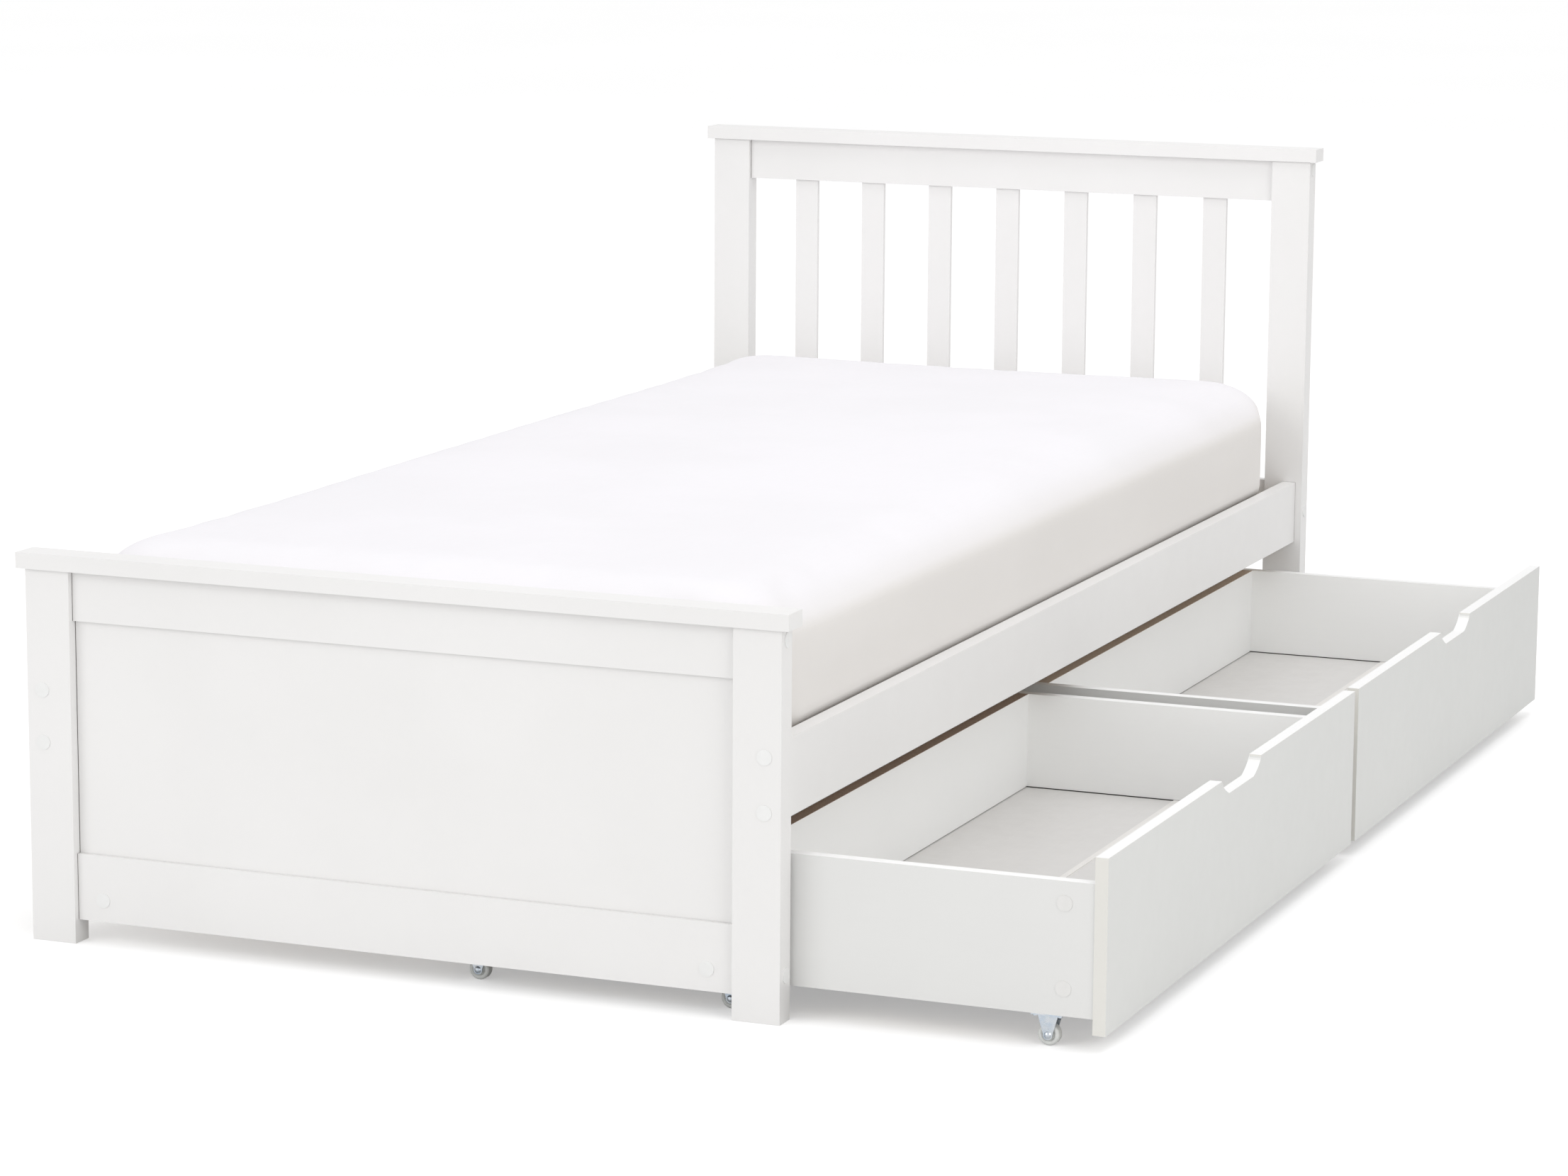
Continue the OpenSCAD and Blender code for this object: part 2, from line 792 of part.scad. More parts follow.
headboard_post_left();
headboard_post_right();
headboard_cap();
headboard_top_rail();
headboard_bottom_rail();
headboard_slats();
footboard_post_left();
footboard_post_right();
footboard_cap();
footboard_top_rail();
footboard_panel();
footboard_bottom_rail();
side_rail_left();
side_rail_right();
slat_ledger_left();
slat_ledger_right();
base_slats();
slat_webbing();
base_screws();
frame_bolts();
barrel_nuts();
dowels();
cover_caps();
mattress();
drawer_front(0);  // drawer_foot_front
drawer_side_near(0);  // drawer_foot_side_near
drawer_side_far(0);  // drawer_foot_side_far
drawer_back(0);  // drawer_foot_back
drawer_divider(0);  // drawer_foot_divider
drawer_bottom(0);  // drawer_foot_bottom
drawer_joint_strip(0);  // drawer_foot_joint_strip
drawer_runners(0);  // drawer_foot_runners
drawer_caster_brackets(0);  // drawer_foot_caster_brackets
drawer_axles(0);  // drawer_foot_axles
drawer_fasteners(0);  // drawer_foot_fasteners
drawer_cover_caps(0);  // drawer_foot_cover_caps
drawer_wheel(0, 0);  // drawer_foot_wheel_1
drawer_wheel(0, 1);  // drawer_foot_wheel_2
drawer_wheel(0, 2);  // drawer_foot_wheel_3
drawer_wheel(0, 3);  // drawer_foot_wheel_4
drawer_wheel(0, 4);  // drawer_foot_wheel_5
drawer_wheel(0, 5);  // drawer_foot_wheel_6
drawer_front(1);  // drawer_head_front
drawer_side_near(1);  // drawer_head_side_near
drawer_side_far(1);  // drawer_head_side_far
drawer_back(1);  // drawer_head_back
drawer_divider(1);  // drawer_head_divider
drawer_bottom(1);  // drawer_head_bottom
drawer_joint_strip(1);  // drawer_head_joint_strip
drawer_runners(1);  // drawer_head_runners
drawer_caster_brackets(1);  // drawer_head_caster_brackets
drawer_axles(1);  // drawer_head_axles
drawer_fasteners(1);  // drawer_head_fasteners
drawer_cover_caps(1);  // drawer_head_cover_caps
drawer_wheel(1, 0);  // drawer_head_wheel_1
drawer_wheel(1, 1);  // drawer_head_wheel_2
drawer_wheel(1, 2);  // drawer_head_wheel_3
drawer_wheel(1, 3);  // drawer_head_wheel_4
drawer_wheel(1, 4);  // drawer_head_wheel_5
drawer_wheel(1, 5);  // drawer_head_wheel_6
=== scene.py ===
"""White single bed with its mattress and two wheeled drawers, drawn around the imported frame."""
import math

import bmesh
import bpy
import numpy as np
from mathutils import Matrix, Vector, noise


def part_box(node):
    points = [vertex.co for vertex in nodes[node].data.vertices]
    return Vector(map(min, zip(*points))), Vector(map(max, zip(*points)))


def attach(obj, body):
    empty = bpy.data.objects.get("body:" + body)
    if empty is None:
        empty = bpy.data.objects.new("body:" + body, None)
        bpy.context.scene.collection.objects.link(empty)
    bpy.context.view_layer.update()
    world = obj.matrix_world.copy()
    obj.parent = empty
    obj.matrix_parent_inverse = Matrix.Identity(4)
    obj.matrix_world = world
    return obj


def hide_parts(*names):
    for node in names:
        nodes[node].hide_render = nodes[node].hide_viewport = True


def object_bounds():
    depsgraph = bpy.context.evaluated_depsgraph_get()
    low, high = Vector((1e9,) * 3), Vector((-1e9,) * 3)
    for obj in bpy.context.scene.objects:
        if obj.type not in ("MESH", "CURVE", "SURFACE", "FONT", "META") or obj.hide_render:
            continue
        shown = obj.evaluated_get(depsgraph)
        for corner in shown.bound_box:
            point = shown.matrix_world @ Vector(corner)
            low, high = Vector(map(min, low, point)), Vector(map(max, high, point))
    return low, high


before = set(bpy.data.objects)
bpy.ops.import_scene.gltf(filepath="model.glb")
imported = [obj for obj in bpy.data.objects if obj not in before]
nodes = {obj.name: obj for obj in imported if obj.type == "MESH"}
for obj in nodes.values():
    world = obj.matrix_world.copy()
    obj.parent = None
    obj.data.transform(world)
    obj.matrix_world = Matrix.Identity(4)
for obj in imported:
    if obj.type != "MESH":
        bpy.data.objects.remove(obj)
cad_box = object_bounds()
scene = bpy.context.scene
MM = 0.001
DRAWERS = ("drawer_foot", "drawer_head")

# ------------------------------------------------------------------ camera

CAMERA_PLACE = (2.2118, -5.7063, 1.4077)
CAMERA_TURN = 0.3886  # about +Z, from looking along +Y
CAMERA_TILT = -0.1790  # downwards
CAMERA_ROLL = 0.0063
SENSOR_W = 36.0
LENS = 107.45


def make_camera():
    data = bpy.data.cameras.new("camera")
    data.sensor_width = SENSOR_W
    data.lens = LENS
    data.clip_end = 400
    camera = bpy.data.objects.new("camera", data)
    scene.collection.objects.link(camera)
    ahead = Vector((
        -math.sin(CAMERA_TURN) * math.cos(CAMERA_TILT),
        math.cos(CAMERA_TURN) * math.cos(CAMERA_TILT),
        math.sin(CAMERA_TILT),
    ))
    right = Vector((math.cos(CAMERA_TURN), math.sin(CAMERA_TURN), 0))
    up = right.cross(ahead)
    right_rolled = right * math.cos(CAMERA_ROLL) + up * math.sin(CAMERA_ROLL)
    up_rolled = up * math.cos(CAMERA_ROLL) - right * math.sin(CAMERA_ROLL)
    turn = Matrix((right_rolled, up_rolled, -ahead)).transposed().to_4x4()
    camera.matrix_world = Matrix.Translation(CAMERA_PLACE) @ turn
    scene.camera = camera


# ------------------------------------------------------------------ shader helpers


class Shader:
    """A node material with a Principled shader, and short ways to add nodes to it."""

    def __init__(self, name, rough=0.5, metallic=0.0, **sockets):
        self.material = bpy.data.materials.new(name)
        self.material.use_nodes = True
        self.tree = self.material.node_tree
        self.shader = self.tree.nodes["Principled BSDF"]
        self.shader.inputs["Roughness"].default_value = rough
        self.shader.inputs["Metallic"].default_value = metallic
        for socket, value in sockets.items():
            self.shader.inputs[socket.replace("_", " ")].default_value = value
        self.place = self.add("ShaderNodeTexCoord").outputs["Object"]

    def add(self, kind, **settings):
        node = self.tree.nodes.new(kind)
        for key, value in settings.items():
            setattr(node, key, value)
        return node

    def link(self, value, socket):
        if isinstance(value, (int, float)):
            socket.default_value = value
        elif isinstance(value, (tuple, list)):
            socket.default_value = value if len(value) == len(socket.default_value) else (*value, 1)
        else:
            self.tree.links.new(value, socket)

    def math(self, operation, a, b=0.0, clamp=False):
        node = self.add("ShaderNodeMath", operation=operation, use_clamp=clamp)
        self.link(a, node.inputs[0])
        self.link(b, node.inputs[1])
        return node.outputs[0]

    def stretch(self, scale, vector=None):
        """The place with each axis scaled, so that a pattern runs along an axis."""
        node = self.add("ShaderNodeMapping")
        self.link(vector or self.place, node.inputs["Vector"])
        node.inputs["Scale"].default_value = scale
        return node.outputs["Vector"]

    def noise(self, scale, detail=3.0, roughness=0.55, vector=None, distortion=0.0):
        node = self.add("ShaderNodeTexNoise")
        self.link(vector or self.place, node.inputs["Vector"])
        node.inputs["Scale"].default_value = scale
        node.inputs["Detail"].default_value = detail
        node.inputs["Roughness"].default_value = roughness
        node.inputs["Distortion"].default_value = distortion
        return node.outputs["Fac"]

    def ramp(self, value, low, high, low_out=0.0, high_out=1.0):
        """value from low to high, smoothly turned into low_out to high_out."""
        node = self.add("ShaderNodeMapRange", interpolation_type="SMOOTHSTEP")
        self.link(value, node.inputs["Value"])
        ends = {"From Min": low, "From Max": high, "To Min": low_out, "To Max": high_out}
        for name, number in ends.items():
            node.inputs[name].default_value = number
        return node.outputs["Result"]

    def mix(self, share, a, b):
        node = self.add("ShaderNodeMix", data_type="RGBA")
        self.link(share, node.inputs["Factor"])
        self.link(a, node.inputs["A"])
        self.link(b, node.inputs["B"])
        return node.outputs["Result"]

    def axes(self, vector=None):
        node = self.add("ShaderNodeSeparateXYZ")
        self.link(vector or self.place, node.inputs[0])
        return node.outputs

    def normal(self):
        """The surface's own direction, in the piece's own axes."""
        node = self.add("ShaderNodeTexCoord")
        return self.axes(node.outputs["Normal"])

    def colour(self, value):
        self.link(value, self.shader.inputs["Base Color"])

    def roughness(self, value):
        self.link(value, self.shader.inputs["Roughness"])

    def bump(self, height, distance, strength=1.0):
        node = self.add("ShaderNodeBump")
        self.link(height, node.inputs["Height"])
        node.inputs["Distance"].default_value = distance
        node.inputs["Strength"].default_value = strength
        self.tree.links.new(node.outputs["Normal"], self.shader.inputs["Normal"])


# ------------------------------------------------------------------ materials


JOINT_SHADE_W = 0.55 * MM  # half the width of the painted shade line at a joint between two boards
# near-black of the painted shade that stands for the shadow in the gap between two boards
JOINT_SHADE_TONE = (0.13, 0.12, 0.11)


def painted_joint_shade(s, tone, lines):
    """tone, with a near-black line of painted shade along every plane in lines, which are (axis, place).
    """
    if not lines:
        return tone
    place = s.axes()
    away = [s.math("ABSOLUTE", s.math("SUBTRACT", place[axis], where)) for axis, where in lines]
    nearest = away[0]
    for other in away[1:]:
        nearest = s.math("MINIMUM", nearest, other)
    # painted shade: the dark line stands for the shadow in the gap where two boards meet
    return s.mix(s.ramp(nearest, JOINT_SHADE_W, 1.5 * JOINT_SHADE_W, 1.0, 0.0), tone, JOINT_SHADE_TONE)


def lacquer(name, light, dark, lines=()):
    """Sprayed white lacquer: faint clouding, soft gloss that varies, and a fine orange-peel surface.
    lines are the joints with the boards next to it, each drawn as a dark line of painted shade for the
    shadow in the gap."""
    s = Shader(name, rough=0.38, Coat_Weight=0.12, Coat_Roughness=0.22)
    cloud = s.ramp(s.noise(2.6, 4), 0.35, 0.65)
    tone = s.mix(cloud, light, dark)
    s.colour(painted_joint_shade(s, tone, lines))
    s.roughness(s.ramp(s.noise(34, 4), 0.3, 0.7, 0.33, 0.45))
    s.bump(s.noise(620, 2, 0.5), 0.00005, 0.5)
    return s.material


def within(s, low, high, margin):
    """1 at the places between low and high in X and Y, or up to margin outside, else 0."""
    place = s.axes()
    shares = []
    for axis, least, most in (("X", low.x, high.x), ("Y", low.y, high.y)):
        shares.append(s.math("GREATER_THAN", place[axis], least - margin))
        shares.append(s.math("LESS_THAN", place[axis], most + margin))
    total = shares[0]
    for share in shares[1:]:
        total = s.math("MULTIPLY", total, share)
    return total


def drawer_board(name, outside, near, far, raw_top=None, raw_tones=None, end_tint=None):
    """Foil-faced board: a satin outside, and between the corners near and far an inside painted much
    whiter as painted light.
    raw_top is the height of a raw upper edge in raw_tones, and end_tint the edging on its ends."""
    s = Shader(name, rough=0.46)
    cloud = s.ramp(s.noise(3.4, 4), 0.35, 0.65)
    fibre = s.noise(260, 3, 0.6, s.stretch((0.06, 1.0, 1.0)))
    shade = s.mix(cloud, (1.0, 1.0, 1.0), (0.985, 0.985, 0.986))
    # painted light: the inside gets a much whiter copy of the foil than the outside
    face = s.mix(within(s, near, far, 0.6 * MM), outside, INSIDE_LIT_TONE)
    # painted light from above: faces turned upwards get a whiter tone
    face = s.mix(s.ramp(s.normal()["Z"], 0.55, 0.85), face, (0.90, 0.90, 0.895))
    if end_tint:
        at_end = s.ramp(s.math("ABSOLUTE", s.normal()["Y"]), 0.85, 0.98)
        face = s.mix(at_end, face, end_tint)
    tinted = s.add("ShaderNodeMix", data_type="RGBA", blend_type="MULTIPLY")
    tinted.inputs["Factor"].default_value = 1.0
    s.link(face, tinted.inputs["A"])
    s.link(shade, tinted.inputs["B"])
    tone = tinted.outputs["Result"]
    tone = s.mix(s.ramp(fibre, 0.4, 0.75, 0.0, 0.012), tone, (0.55, 0.53, 0.50))
    rough = s.ramp(s.noise(50, 3), 0.3, 0.7, 0.44, 0.52)
    if raw_top is not None:
        grain = s.noise(900, 4, 0.7)
        raw = s.mix(s.ramp(grain, 0.35, 0.68), *raw_tones)
        at_top = s.ramp(s.axes()["Z"], raw_top - 0.5 * MM, raw_top - 0.3 * MM)
        tone = s.mix(at_top, tone, raw)
        rough = s.math("MAXIMUM", rough, s.math("MULTIPLY", at_top, 0.9))
    s.colour(tone)
    s.roughness(rough)
    s.bump(fibre, 0.00001, 0.3)
    return s.material


def drawer_floor(name, near, far):
    """The drawers' warm grey bottom board, with a dark line of painted shade where it meets the walls
    between near and far.
    """
    s = Shader(name, rough=0.42)
    cloud = s.ramp(s.noise(2.2, 4), 0.3, 0.7)
    fibre = s.noise(240, 3, 0.6, s.stretch((1.0, 0.06, 1.0)))
    tone = s.mix(cloud, (0.735, 0.725, 0.71), (0.705, 0.695, 0.68))
    tone = s.mix(s.ramp(fibre, 0.4, 0.75, 0.0, 0.03), tone, (0.42, 0.40, 0.38))
    place = s.axes()
    gaps = []
    for axis, low, high in (("X", near.x, far.x), ("Y", near.y, far.y)):
        from_low = s.math("SUBTRACT", place[axis], low)
        from_high = s.math("SUBTRACT", high, place[axis])
        gaps.append(s.math("MINIMUM", from_low, from_high))
    to_wall = s.math("MINIMUM", *gaps)
    # painted shade: a near-black line close to the walls stands for the shadow in the gap
    tone = s.mix(s.ramp(to_wall, 0.5 * MM, 1.1 * MM, 1.0, 0.0), tone, (0.10, 0.09, 0.085))
    s.colour(tone)
    s.roughness(s.ramp(s.noise(40, 3), 0.3, 0.7, 0.36, 0.50))
    s.bump(fibre, 0.00005, 0.4)
    return s.material


def pine(name, along, spacing=None):
    """Planed pine with grain along an axis; with a spacing, each piece across it has its own grain."""
    s = Shader(name, rough=0.62)
    place = s.axes()
    vector = s.place
    if spacing:
        across = "Y" if along == "X" else "X"
        number = s.math("FLOOR", s.math("DIVIDE", s.math("ADD", place[across], 10.0), spacing))
        random = s.add("ShaderNodeTexWhiteNoise", noise_dimensions="1D")
        s.link(number, random.inputs["W"])
        shift = s.add("ShaderNodeVectorMath", operation="MULTIPLY_ADD")
        s.link(random.outputs["Color"], shift.inputs[0])
        shift.inputs[1].default_value = (7.0, 7.0, 7.0)
        s.link(s.place, shift.inputs[2])
        vector = shift.outputs[0]
    lengthwise = (0.10, 1.0, 1.0) if along == "X" else (1.0, 0.10, 1.0)
    knot_shape = (0.45, 1.0, 1.0) if along == "X" else (1.0, 0.45, 1.0)
    stretched = s.stretch(lengthwise, vector)
    rings = s.add("ShaderNodeTexWave", wave_type="BANDS", bands_direction="DIAGONAL")
    s.link(stretched, rings.inputs["Vector"])
    rings.inputs["Scale"].default_value = 22
    rings.inputs["Distortion"].default_value = 7
    rings.inputs["Detail"].default_value = 3
    rings.inputs["Detail Scale"].default_value = 1.6
    fibre = s.noise(420, 4, 0.65, stretched)
    tone = s.mix(s.ramp(rings.outputs["Fac"], 0.35, 0.95), (0.76, 0.58, 0.36), (0.60, 0.39, 0.20))
    tone = s.mix(s.ramp(fibre, 0.42, 0.75, 0.0, 0.35), tone, (0.47, 0.30, 0.16))
    spots = s.add("ShaderNodeTexVoronoi", feature="F1")
    s.link(s.stretch(knot_shape, vector), spots.inputs["Vector"])
    spots.inputs["Scale"].default_value = 4.2
    knot = s.ramp(spots.outputs["Distance"], 0.028, 0.05, 1.0, 0.0)
    tone = s.mix(s.math("MULTIPLY", knot, 0.8), tone, (0.26, 0.13, 0.06))
    s.colour(tone)
    s.roughness(s.ramp(fibre, 0.3, 0.7, 0.55, 0.72))
    s.bump(fibre, 0.0001, 0.5)
    return s.material


def zinc(name):
    """Bright zinc plating: bluish, with a faint spangle and drawn marks."""
    s = Shader(name, rough=0.26, metallic=1.0)
    cloud = s.noise(90, 4)
    tone = s.mix(s.ramp(cloud, 0.35, 0.65), (0.60, 0.68, 0.77), (0.72, 0.76, 0.80))
    tone = s.mix(s.ramp(s.noise(400, 3), 0.60, 0.8, 0.0, 0.35), tone, (0.62, 0.60, 0.52))
    s.colour(tone)
    s.roughness(s.ramp(s.noise(240, 3), 0.3, 0.7, 0.20, 0.36))
    s.bump(s.noise(1500, 2), 0.00003, 0.4)
    return s.material


def moulded(name, light, dark, rough=0.42):
    """Moulded plastic with slight clouding and a fine satin texture."""
    s = Shader(name, rough=rough)
    s.colour(s.mix(s.ramp(s.noise(120, 3), 0.35, 0.65), light, dark))
    s.roughness(s.ramp(s.noise(300, 3), 0.3, 0.7, rough - 0.06, rough + 0.08))
    s.bump(s.noise(1400, 2), 0.00004, 0.5)
    return s.material


def cotton(name):
    """Plain-woven white cotton: fine crossing threads, slubs and a soft sheen; its sides are a darker,
    warmer copy of the white, as painted shade.
    """
    s = Shader(name, rough=0.9, Sheen_Weight=0.04, Sheen_Roughness=0.4)
    s.shader.inputs["Sheen Tint"].default_value = (0.97, 0.96, 1.0, 1)
    cloud = s.ramp(s.noise(3.0, 5), 0.35, 0.65)
    top = s.mix(cloud, (0.840, 0.827, 0.852), (0.820, 0.808, 0.830))
    # painted shade: the sides get a darker, warmer copy of the white than the top
    side = s.mix(cloud, (0.785, 0.762, 0.738), (0.770, 0.747, 0.722))
    tone = s.mix(s.ramp(s.normal()["Z"], 0.15, 1.0), side, top)
    slub = s.noise(520, 2, 0.5, s.stretch((0.05, 1.0, 1.0)))
    slub_cross = s.noise(520, 2, 0.5, s.stretch((1.0, 0.05, 1.0)))
    threads = s.math("MULTIPLY", s.math("ADD", slub, slub_cross), 0.5)
    tone = s.mix(s.ramp(threads, 0.45, 0.62, 0.0, 0.10), tone, (0.78, 0.77, 0.79))
    s.colour(tone)
    s.roughness(s.ramp(threads, 0.3, 0.7, 0.82, 0.94))
    weave = s.add("ShaderNodeTexWave", wave_type="BANDS", bands_direction="X")
    weave_cross = s.add("ShaderNodeTexWave", wave_type="BANDS", bands_direction="Y")
    for wave in (weave, weave_cross):
        s.link(s.place, wave.inputs["Vector"])
        wave.inputs["Scale"].default_value = 420
        wave.inputs["Distortion"].default_value = 0.6
    woven = s.math("MULTIPLY", weave.outputs["Fac"], weave_cross.outputs["Fac"])
    s.bump(s.math("ADD", threads, s.math("MULTIPLY", woven, 0.5)), 0.00012, 0.5)
    return s.material


def quilted(name):
    """Stitch-bonded mattress ticking with a soft diamond pattern, darker in its stitched hollows as
    painted shade.
    """
    s = Shader(name, rough=0.92, Sheen_Weight=0.15)
    place = s.axes()
    lines = []
    for sign in (1.0, -1.0):
        slanted = s.math("ADD", place["X"], s.math("MULTIPLY", place["Y"], sign))
        lines.append(s.math("PINGPONG", slanted, 0.07))
    seam = s.math("MINIMUM", *lines)
    hollow = s.ramp(seam, 0.0, 0.02)
    # painted shade: the hollows along the seams are coloured darker
    s.colour(s.mix(hollow, (0.70, 0.69, 0.68), (0.84, 0.83, 0.82)))
    s.roughness(s.ramp(s.noise(200, 3), 0.3, 0.7, 0.85, 0.97))
    s.bump(s.math("ADD", hollow, s.math("MULTIPLY", s.noise(500, 3), 0.1)), 0.004, 0.6)
    return s.material


def tape_weave(name):
    """Flat woven tape with ribs across its length."""
    s = Shader(name, rough=0.85, Sheen_Weight=0.1)
    rib = s.add("ShaderNodeTexWave", wave_type="BANDS", bands_direction="Y")
    s.link(s.place, rib.inputs["Vector"])
    rib.inputs["Scale"].default_value = 190
    rib.inputs["Distortion"].default_value = 0.4
    fuzz = s.noise(700, 3)
    s.colour(s.mix(s.ramp(rib.outputs["Fac"], 0.2, 0.8), (0.55, 0.55, 0.52), (0.74, 0.74, 0.70)))
    s.roughness(s.ramp(fuzz, 0.3, 0.7, 0.8, 0.95))
    s.bump(s.math("ADD", rib.outputs["Fac"], s.math("MULTIPLY", fuzz, 0.4)), 0.0004, 0.7)
    return s.material


def studio_floor(name):
    """Pale seamless paper with barely visible clouding."""
    s = Shader(name, rough=0.9)
    s.colour(s.mix(s.ramp(s.noise(0.7, 4), 0.35, 0.65), (0.80, 0.80, 0.80), (0.79, 0.79, 0.79)))
    seen = s.add("ShaderNodeLightPath").outputs["Is Camera Ray"]
    s.shader.inputs["Emission Color"].default_value = (1, 1, 1, 1)
    s.link(s.math("MULTIPLY", seen, FLOOR_GLOW), s.shader.inputs["Emission Strength"])
    s.bump(s.noise(300, 3), 0.0001, 0.2)
    return s.material


# ------------------------------------------------------------------ CAD nodes: edges and materials


def soften(name, width, segments=3, angle=35):
    """Rounds a CAD node's sharp edges with modifiers."""
    piece = nodes[name]
    clean = piece.modifiers.new("clean", "DECIMATE")
    clean.decimate_type = "DISSOLVE"
    clean.angle_limit = math.radians(0.5)
    bevel = piece.modifiers.new("edges", "BEVEL")
    bevel.width = width
    bevel.segments = segments
    bevel.limit_method = "ANGLE"
    bevel.angle_limit = math.radians(angle)
    bevel.use_clamp_overlap = True
    bevel.miter_outer = "MITER_ARC"
    bevel.harden_normals = True


def dress(name, material, edge=None, segments=3):
    piece = nodes[name]
    piece.data.materials.clear()
    piece.data.materials.append(material)
    for polygon in piece.data.polygons:
        polygon.use_smooth = True
    if edge:
        soften(name, edge, segments)


def dress_lacquered_boards():
    """White lacquer on every board of the bed, with dark lines of painted shade at the joints that each
    board shows.
    """
    light, dark = (0.845, 0.838, 0.830), (0.822, 0.815, 0.806)
    white = lacquer("white_lacquer", light, dark)
    radii = {
        "headboard_post_left": 1.2, "headboard_post_right": 1.2, "headboard_cap": 1.6,
        "headboard_top_rail": 1.2, "headboard_bottom_rail": 1.2, "headboard_slats": 0.9,
        "footboard_post_left": 1.2, "footboard_post_right": 1.2, "footboard_cap": 1.6,
        "footboard_top_rail": 1.2, "footboard_panel": 0.4, "footboard_bottom_rail": 1.8,
        "side_rail_left": 1.8, "side_rail_right": 1.8,
    }
    across = [("X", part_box("footboard_top_rail")[0].x), ("X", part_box("footboard_top_rail")[1].x)]
    along = [("Y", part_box("side_rail_left")[0].y), ("Y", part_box("side_rail_left")[1].y)]
    under_foot_cap = [("Z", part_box("footboard_cap")[0].z)]
    under_head_cap = [("Z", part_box("headboard_cap")[0].z)]
    # painted shadow on the panel just below the top rail
    shadow_under_top_rail = [("Z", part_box("footboard_top_rail")[0].z)]
    slat_ends = [("Z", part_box("headboard_bottom_rail")[1].z), ("Z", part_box("headboard_top_rail")[0].z)]
    whites = {
        ("footboard_post_left", "footboard_post_right"): under_foot_cap,
        ("headboard_post_left", "headboard_post_right"): under_head_cap,
        ("footboard_top_rail", "footboard_bottom_rail"): across + under_foot_cap,
        ("headboard_top_rail", "headboard_bottom_rail"): across + under_head_cap,
        ("footboard_panel",): across + shadow_under_top_rail,
        ("headboard_slats",): slat_ends,
        ("side_rail_left", "side_rail_right"): along,
    }
    # each group of boards gets its own lacquer, with dark lines of painted shade at its joints
    for names, lines in whites.items():
        joint_shaded_lacquer = lacquer(names[0] + "_lacquer", light, dark, lines)
        for name in names:
            dress(name, joint_shaded_lacquer, radii.pop(name) * MM)
    for name, radius in radii.items():
        dress(name, white, radius * MM)


SLAT_COUNT = 14
SLAT_W = 68 * MM


def dress_bed():
    dress_lacquered_boards()
    slat_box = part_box("base_slats")
    pitch = (slat_box[1].y - slat_box[0].y - SLAT_W) / (SLAT_COUNT - 1)
    dress("base_slats", pine("pine_slats", "X", pitch), 1.5 * MM)
    beam = pine("pine_battens", "Y")
    for name in ("slat_ledger_left", "slat_ledger_right"):
        dress(name, beam, 1.2 * MM)
    dress("dowels", pine("beech_dowels", "X"), 0.6 * MM)
    dress("slat_webbing", tape_weave("woven_tape"), 0.4 * MM)
    plated = zinc("zinc_plated_steel")
    for name in ("base_screws", "frame_bolts", "barrel_nuts"):
        dress(name, plated, 0.3 * MM, 2)
    cap_plastic = moulded("cover_cap_plastic", (0.838, 0.840, 0.832), (0.824, 0.826, 0.818))
    dress("cover_caps", cap_plastic, 0.35 * MM)
    return plated


# Lit and shaded copies of one white foil: the fronts' outside is painted darker as painted shade, the
# inside much whiter as painted light.
FRONT_SHADED_TONE = (0.70, 0.705, 0.687)
SIDE_TONE = (0.745, 0.745, 0.732)
BACK_TONE = (0.75, 0.75, 0.735)
INSIDE_LIT_TONE = (0.93, 0.934, 0.925)
EDGING_TONE = (0.74, 0.73, 0.69)
# The same raw board edge in two copies: the head drawer's lighter tones are painted light, the foot
# drawer's darker ones painted shade.
RAW_EDGE_SHADED_AND_LIT_TONES = {
    "drawer_foot": ((0.34, 0.25, 0.20), (0.54, 0.43, 0.36)),
    "drawer_head": ((0.52, 0.42, 0.34), (0.74, 0.64, 0.55)),
}


def dress_drawer(drawer, shared):
    inner_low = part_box(drawer + "_joint_strip")[0]
    inner_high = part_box(drawer + "_joint_strip")[1]
    back_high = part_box(drawer + "_back")[1]
    front_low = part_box(drawer + "_front")[0]
    near = Vector((back_high.x, inner_low.y, 0))
    far = Vector((front_low.x, inner_high.y, 0))
    front = drawer_board(drawer + "_front_board", FRONT_SHADED_TONE, near, far, end_tint=EDGING_TONE)
    dress(drawer + "_front", front, 0.9 * MM)
    side = drawer_board(drawer + "_side_board", SIDE_TONE, near, far)
    for part in ("_side_near", "_side_far"):
        dress(drawer + part, side, 0.8 * MM)
    raw_name = drawer + "_raw_edged_board"
    raw = drawer_board(raw_name, BACK_TONE, near, far, back_high.z, RAW_EDGE_SHADED_AND_LIT_TONES[drawer])
    for part in ("_back", "_divider"):
        dress(drawer + part, raw, 0.25 * MM, 2)
    dress(drawer + "_bottom", drawer_floor(drawer + "_bottom_board", near, far), 0.2 * MM, 1)
    dress(drawer + "_joint_strip", shared["strip"], 0.25 * MM, 2)
    dress(drawer + "_runners", shared["batten"], 0.9 * MM)
    dress(drawer + "_caster_brackets", shared["zinc"], 0.35 * MM)
    dress(drawer + "_axles", shared["zinc"])
    dress(drawer + "_fasteners", shared["zinc"], 0.35 * MM, 2)
    dress(drawer + "_cover_caps", shared["caps"], 0.25 * MM, 2)
    for number in range(1, 7):
        dress(f"{drawer}_wheel_{number}", shared["wheel"])


# ------------------------------------------------------------------ mattress and its fitted sheet

SHEET_GAP = 1.4 * MM  # between the mattress and the cloth over it
SHEET_T = 0.7 * MM
TUCK = 0.115  # how far the sheet reaches under the mattress
GRID_STEP = 0.017
CORNER_R = 0.088
TOP_R = 0.044
UNDER_R = 0.024


